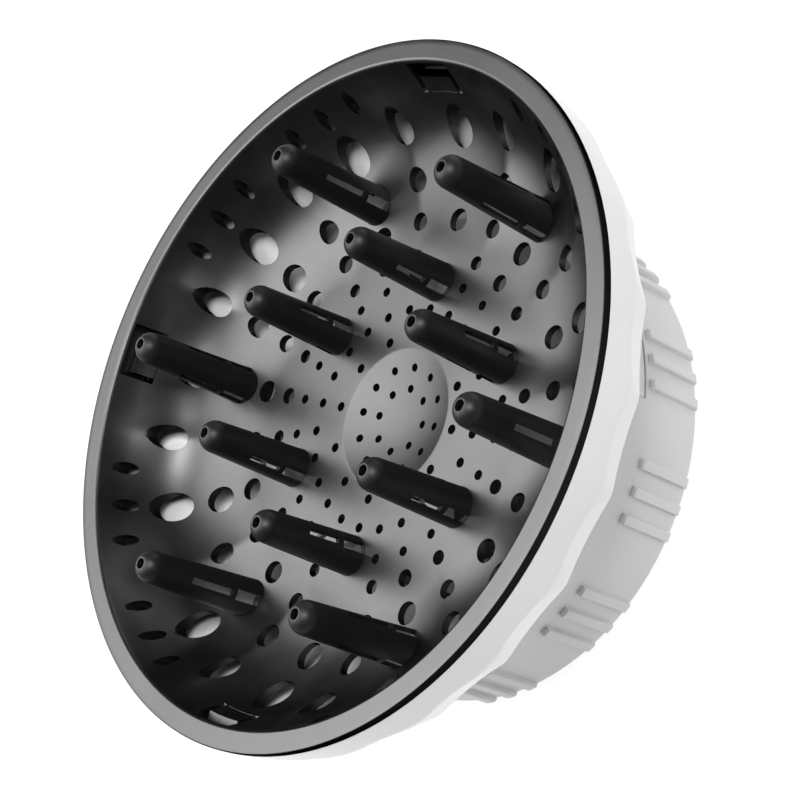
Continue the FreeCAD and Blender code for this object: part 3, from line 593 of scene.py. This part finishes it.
def finger_outline(top):
    """Section of a hollow finger with a round tip and a narrow flat round the air hole."""
    shoulder = top - TIP_RADIUS
    inner_tip = TIP_RADIUS - FINGER_WALL
    outline = [(SOCKET_RADIUS - FINGER_WALL, FOOT_LOW), (FOOT_RADIUS, FOOT_LOW), (FOOT_RADIUS, FOOT_TOP),
               (SOCKET_RADIUS, FOOT_TOP), (SOCKET_RADIUS, FOOT_TOP + ROOT_HEIGHT)]
    for share in np.linspace(0.0, 1.0, 13)[1:-1]:
        outline.append((SOCKET_RADIUS + (TIP_RADIUS - SOCKET_RADIUS) * share,
                        FOOT_TOP + ROOT_HEIGHT + (shoulder - FOOT_TOP - ROOT_HEIGHT) * share))
    last = math.acos(TIP_FLAT / TIP_RADIUS)
    for angle in np.linspace(0.0, last, 18):
        outline.append((TIP_RADIUS * math.cos(angle), shoulder + TIP_RADIUS * math.sin(angle)))
    crest = shoulder + TIP_RADIUS * math.sin(last)
    outline += [(AIR_HOLE + AIR_HOLE_EDGE, crest), (AIR_HOLE, crest - AIR_HOLE_EDGE)]
    deep = math.acos(AIR_HOLE / inner_tip)
    for angle in np.linspace(deep, 0.0, 10):
        outline.append((inner_tip * math.cos(angle), shoulder + inner_tip * math.sin(angle)))
    return np.array(outline)


def finger_mesh(row):
    """Mesh of one finger on the axis; the inner walls beside the slits get the second material, a pale colour
    that is painted light for the brightness seen through the slits.
    """
    top, slit_low, slit_high, vent_low, vent_high = FINGER_ROWS[row]
    obj = lathe(f"{row}_finger", finger_outline(top), 96)
    cuts = []
    for low, high, width in ((slit_low, slit_high, SLIT_WIDTH), (vent_low, vent_high, VENT_WIDTH)):
        points, faces = block(1.0, 8.0, width / 2, low, high)
        cuts += [(turned(points, azimuth), faces) for azimuth in (0.0, 120.0, 240.0)]
    carve(obj, cuts)
    smooth(obj, 20.0)
    mesh = obj.data
    # inner wall faces up to just above the slits get material 1, the pale painted light
    inside = (SOCKET_RADIUS - FINGER_WALL + 0.2) * MM
    for face in mesh.polygons:
        centre = Vector((face.center.x, face.center.y, 0.0))
        faces_axis = centre.length < inside and face.normal.dot(centre) < -0.5 * centre.length
        if faces_axis and face.center.z < (slit_high + 1.0) * MM:
            face.material_index = 1
    bpy.data.objects.remove(obj)
    return mesh


def make_fingers():
    """The twelve fingers' visual pieces."""
    meshes = {row: finger_mesh(row) for row in FINGER_ROWS}
    numbers = {"outer": 0, "inner": 0}
    for place, azimuth, row in FINGER_PLACES:
        numbers[row] += 1
        mesh = meshes[row].copy()
        turn = Matrix.Rotation(math.radians(azimuth), 4, "Z")
        mesh.transform(turn @ Matrix.Translation((place * MM, 0, 0)))
        finger = new_object(f"finger_{row}_{numbers[row]}_look", mesh)
        paint(finger, FINGER_PLASTIC, FINGER_PAINTED_LIGHT)
        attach(finger, "root")
        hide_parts(f"finger_{row}_{numbers[row]}")


# ---------------------------------------------------------------- outer shell

FLUTES = 24
FLUTE_AZIMUTH = math.radians(2.0)
FLUTE_CURVE = 73.0
FLUTE_LOW = (79.55, 45.0)
FLUTE_HIGH = (84.9, 54.5)
FLUTE_SOFT_SHARE = 0.10
FLUTE_MIDDLE = 80.5
NECK = 57.4
SCREW_AZIMUTHS = [30.0 + 60.0 * step for step in range(6)]
BOSS_RADIUS = 4.0
BOSS_PLACE = (49.5, 0, 0)
GUIDE_PILOT_RADIUS = 1.5
# inner and outer radius, half-width, low and high
BOSS_WEB = (50.5, 55.2, 1.2, 13.0, 22.0)
# inner and outer radius, low and high, middle azimuth and sweep
STOP_LUG = (56.9, 59.7, 18.9, 27.6, 212.15, 27.7)
SHELL_OUTLINE = [
    # radius, height, rounding: outside from the rim down, then back up the inside
    (85.4, 62.3, 0.25),
    (84.7, 53.0, 7.0),
    (81.0, 45.0, 0.7),
    (78.5, 44.2, 1.2),
    (66.5, 32.0, 3.0),
    (NECK, 26.8, 0.6),
    (NECK, 18.55, 0.1),
    (56.0, 18.55, 0.1),
    (56.0, 17.1, 0.1),
    (NECK, 17.1, 0.1),
    (NECK, 16.2, 0.1),
    (58.15, 16.2, 0.25),
    (58.15, 14.8, 0.25),
    (NECK, 14.8, 0.1),
    (NECK, 12.5, 0.3),
    (54.4, 12.5, 0.3),
    (54.4, 28.4, 0.8),
    (65.3, 33.9, 2.0),
    (78.2, 46.4, 1.5),
    (82.6, 53.4, 4.0),
    (83.5, 62.3, 0.2),
]


def soft_least(first, second, blend):
    """Smooth minimum of two lengths."""
    gap = first - second
    return (first + second - np.sqrt(gap ** 2 + blend ** 2)) / 2


def fluted(radius, height, azimuth):
    """Shell outline with the shallow flutes pressed into the shoulder."""
    half = math.pi / FLUTES
    turn = np.abs((azimuth - FLUTE_AZIMUTH + half) % (2 * half) - half)
    soft = half * FLUTE_SOFT_SHARE
    near = np.clip((turn - (half - soft)) / soft, 0.0, 1.0)
    turn = turn - near ** 2 * soft * 0.5
    slope = (FLUTE_HIGH[0] - FLUTE_LOW[0]) / (FLUTE_HIGH[1] - FLUTE_LOW[1])
    line = FLUTE_LOW[0] + slope * (height - FLUTE_LOW[1])
    flat = 1 / math.hypot(1.0, slope)
    across = FLUTE_MIDDLE * np.sin(turn)
    flute = np.hypot(line + across ** 2 / (2 * FLUTE_CURVE * flat), across)
    pressed = soft_least(radius, flute, 0.25)
    return np.where(radius > flute - 1.0, pressed, radius), height


def arc_block(inner, outer, low, high, middle, sweep, steps=24):
    """Closed block between two radii over a sweep of azimuth."""
    angles = np.radians(np.linspace(middle - sweep / 2, middle + sweep / 2, steps + 1))
    outline = [(outer * math.cos(angle), outer * math.sin(angle)) for angle in angles]
    outline += [(inner * math.cos(angle), inner * math.sin(angle)) for angle in reversed(angles)]
    return prism(outline, low, high)


def make_shell():
    """The outer shell's visual piece, with its hooks, screw bosses and stop lug."""
    outline = resample(rounded(SHELL_OUTLINE, 6), 1.1)
    obj = lathe("shell_cover", outline[::-1], 720, fluted)
    hook, hook_faces = block(*LATCH_HOOK)
    extras = [(turned(hook, azimuth), hook_faces) for azimuth in LATCH_AZIMUTHS]
    boss, boss_faces = prism(circle_outline(BOSS_RADIUS, 48), 11.8, 22.0)
    web, web_faces = block(*BOSS_WEB)
    for azimuth in SCREW_AZIMUTHS:
        extras.append((turned(boss, azimuth, BOSS_PLACE), boss_faces))
        extras.append((turned(web, azimuth), web_faces))
    extras.append(arc_block(*STOP_LUG))
    carve(obj, extras, "UNION")
    pilot, pilot_faces = prism(circle_outline(GUIDE_PILOT_RADIUS, 32), 11.0, 19.0)
    carve(obj, [(turned(pilot, azimuth, BOSS_PLACE), pilot_faces) for azimuth in SCREW_AZIMUTHS])
    smooth(obj, 32.0)
    paint(obj, SHELL_PLASTIC)
    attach(obj, "root")
    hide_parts("outer_shell")


# ---------------------------------------------------------------- grip ring

RING_OUTLINE = [
    # radius, height, rounding: outside from the rear up, then back down the inside
    (58.0, 0.0, 0.0),
    (60.0, 0.0, 1.1),
    (60.0, 24.5, 0.35),
    (57.45, 24.5, 0.3),
    (57.45, 16.4, 0.1),
    (58.2, 16.4, 0.1),
    (58.2, 14.6, 0.1),
    (57.45, 14.6, 0.1),
    (57.45, 12.2, 0.1),
    (54.6, 12.2, 0.2),
    (54.6, 5.0, 0.2),
    (58.0, 5.0, 0.0),
]
RIB_GROUPS = 12
RIB_AZIMUTH = -2.2
RIB_PITCH = 6.1
RIB_HALF = 1.15
RIB_CREST = 61.35
RIB_FOOT = 59.3
RIB_FRONT = 17.3
RIB_REAR = 0.6
RIB_EDGE = 0.3
RIB_FRONT_CHAMFER = 0.25
RIB_MIDDLE = 9.0
RIB_REAR_ROUNDING = 1.3
# inner and outer radius, low and high, middle azimuth and sweep
RING_NOTCH = (56.0, 61.0, 18.6, 26.0, 252.3, 108.6)
CAM_PILOT_RADIUS = 0.9
CAM_PILOT_PLACE = (56.3, 0, 0)


def rib_block():
    """One rib along Z on the ring's outside, with rolled edges and a rounded rear end."""
    rise = RIB_CREST - RIB_FOOT
    side = [(-RIB_HALF, 0.0)]
    for step in range(6):
        angle = math.radians(180.0 - 18.0 * step)
        side.append((-RIB_HALF + RIB_EDGE + RIB_EDGE * math.cos(angle),
                     rise - RIB_EDGE + RIB_EDGE * math.sin(angle)))
    section = side + [(-across, up) for across, up in reversed(side)]
    stations = [(RIB_FRONT, rise - RIB_FRONT_CHAMFER),
                (RIB_FRONT - RIB_FRONT_CHAMFER, rise),
                (RIB_MIDDLE, rise)]
    for step in range(9):
        angle = math.radians(90.0 * step / 8)
        stations.append((RIB_REAR + RIB_REAR_ROUNDING * (1 - math.sin(angle)),
                         rise - RIB_REAR_ROUNDING * (1 - math.cos(angle))))
    points = []
    for height, top in stations:
        for across, up in section:
            lift = min(up, top) if up < rise - RIB_EDGE else up - rise + top
            points.append((RIB_FOOT + max(lift, 0.0), across, height))
    count = len(section)
    faces = [tuple(range(count)), tuple(reversed(range((len(stations) - 1) * count, len(stations) * count)))]
    for row in range(len(stations) - 1):
        for index in range(count):
            after = (index + 1) % count
            here = row * count
            faces.append((here + after, here + index, here + count + index, here + count + after))
    return np.array(points), faces


def make_ring():
    """The grip ring's visual piece, with its ribs and the stop's notch."""
    obj = lathe("grip_collar", resample(rounded(RING_OUTLINE, 5), 2.0)[::-1], 720)
    points, faces = rib_block()
    ribs = []
    for group in range(RIB_GROUPS):
        for shift in (-RIB_PITCH, 0.0, RIB_PITCH):
            ribs.append((turned(points, group * 360.0 / RIB_GROUPS + RIB_AZIMUTH + shift), faces))
    carve(obj, ribs, "UNION")
    cuts = [arc_block(*RING_NOTCH, steps=90)]
    pilot, pilot_faces = prism(circle_outline(CAM_PILOT_RADIUS, 24), -1.0, 10.5)
    cuts += [(turned(pilot, azimuth, CAM_PILOT_PLACE), pilot_faces) for azimuth in SCREW_AZIMUTHS]
    carve(obj, cuts)
    smooth(obj, 32.0)
    paint(obj, GRIP_PLASTIC)
    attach(obj, "grip")
    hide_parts("grip_ring")


# ---------------------------------------------------------------- CAD nodes that stay


def finish_cad_nodes():
    """Materials of the CAD nodes that show as they are."""
    finishes = {
        "jaw_guide": MECHANISM_PLASTIC,
        "cam_plate": GRIP_PLASTIC,
        "friction_o_ring": SEAL_RUBBER,
        "guide_screws": STEEL,
        "cam_screws": STEEL,
    }
    for number in range(1, 7):
        finishes[f"jaw_{number}"] = MECHANISM_PLASTIC
        finishes[f"jaw_pad_{number}"] = SEAL_RUBBER
    for name, material in finishes.items():
        paint(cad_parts[name], material)


# ---------------------------------------------------------------- studio


def look_from(place, target):
    """Rotation that points a light or camera's -Z from a place to a target."""
    return (Vector(place) - Vector(target)).to_track_quat("Z", "Y")


def softbox(name, azimuth, elevation, distance, width, height, radiance):
    """Rectangular area light aimed at the object's middle; radiance in W per square metre and steradian."""
    light = bpy.data.lights.new(name, "AREA")
    light.shape = "RECTANGLE"
    light.size = width
    light.size_y = height
    light.energy = radiance * width * height * math.pi
    turn = math.radians(azimuth)
    rise = math.radians(elevation)
    place = Vector((math.cos(rise) * math.cos(turn), math.cos(rise) * math.sin(turn), math.sin(rise)))
    place = place * distance
    obj = new_object(name, light)
    obj.location = place + MIDDLE
    obj.rotation_mode = "QUATERNION"
    obj.rotation_quaternion = look_from(place, (0, 0, 0))
    return obj


MIDDLE = Vector((0, 0, (cad_low.z + cad_high.z) / 2))
CAMERA_TARGET = Vector((-0.00678, -0.00344, 0.0443))
CAMERA_DISTANCE = 0.50322
CAMERA_AZIMUTH = 172.07
CAMERA_ELEVATION = 40.576
CAMERA_ROLL = 66.83
LENS = 97.16
FLOOR_REACH = 3000.0
FLOOR_GAP = 0.02
# metres from the axis: the floor doesn't glow inside UNLIT_START and glows fully from UNLIT_END
UNLIT_START = 0.045
UNLIT_END = 0.062
FLOOR_GLOW = 0.95


def make_camera():
    """Camera at the photograph's angle, turned and rolled about the target."""
    azimuth = math.radians(CAMERA_AZIMUTH)
    elevation = math.radians(CAMERA_ELEVATION)
    roll = math.radians(CAMERA_ROLL)
    back = Vector((math.cos(elevation) * math.cos(azimuth), math.cos(elevation) * math.sin(azimuth),
                   math.sin(elevation)))
    up = (Vector((0, 0, 1)) - back * back.z).normalized()
    right = up.cross(back)
    upward = up * math.cos(roll) + right * math.sin(roll)
    sideways = upward.cross(back)
    camera_data = bpy.data.cameras.new("studio_camera")
    camera_data.lens = LENS
    camera_data.sensor_width = 36.0
    camera_data.clip_start = 0.01
    camera = new_object("studio_camera", camera_data)
    rotation = Matrix((sideways, upward, back)).transposed()
    camera.matrix_world = Matrix.Translation(CAMERA_TARGET + back * CAMERA_DISTANCE) @ rotation.to_4x4()
    bpy.context.scene.camera = camera


def make_floor():
    """Floor that glows white and lights the shell from below, except for a disc under the ring.

    The dark disc where the glow is cut is painted shadow under the object; it keeps the bowl's holes dark,
    and the ring hides it from above.
    """
    height = RING_REAR - FLOOR_GAP
    points = [(-FLOOR_REACH, -FLOOR_REACH, height), (FLOOR_REACH, -FLOOR_REACH, height),
              (FLOOR_REACH, FLOOR_REACH, height), (-FLOOR_REACH, FLOOR_REACH, height)]
    floor = new_object("studio_floor", mesh_from("studio_floor", points, [(0, 1, 2, 3)]))
    nodes = Nodes("studio_floor")
    nodes.link(nodes.ramp(nodes.noise(3.0), [(0.3, 0.10), (0.7, 0.11)]), nodes.shader.inputs["Base Color"])
    nodes.shader.inputs["Roughness"].default_value = 0.9
    nodes.shader.inputs["Specular IOR Level"].default_value = 0.0
    nodes.shader.inputs["Emission Color"].default_value = (1, 1, 1, 1)
    apart = nodes.add("ShaderNodeVectorMath", operation="LENGTH")
    nodes.link(nodes.place, apart.inputs[0])
    # painted shadow: the floor's glow fades out towards the axis under the object
    shade = nodes.add("ShaderNodeMapRange", interpolation_type="SMOOTHSTEP")
    nodes.link(apart.outputs["Value"], shade.inputs["Value"])
    shade.inputs["From Min"].default_value = UNLIT_START
    shade.inputs["From Max"].default_value = UNLIT_END
    shade.inputs["To Max"].default_value = FLOOR_GLOW
    nodes.link(shade.outputs["Result"], nodes.shader.inputs["Emission Strength"])
    paint(floor, nodes.material)


def make_studio():
    """Faint world light, three softboxes and the floor."""
    world = bpy.data.worlds.new("studio_air")
    world.use_nodes = True
    air = world.node_tree.nodes["Background"]
    air.inputs["Color"].default_value = (1, 1, 1, 1)
    air.inputs["Strength"].default_value = 0.03
    bpy.context.scene.world = world
    softbox("bowl_softbox", azimuth=16.0, elevation=60.0, distance=1.2,
            width=1.25, height=1.8, radiance=5.1)
    softbox("key_softbox", azimuth=200.0, elevation=58.0, distance=1.2,
            width=0.45, height=0.45, radiance=17.5)
    softbox("side_softbox", azimuth=272.0, elevation=8.0, distance=1.2,
            width=0.8, height=0.4, radiance=1.6)
    bpy.context.scene.view_settings.view_transform = "Standard"
    make_floor()


make_camera()
make_studio()
make_bowl()
make_fingers()
make_shell()
make_ring()
finish_cad_nodes()
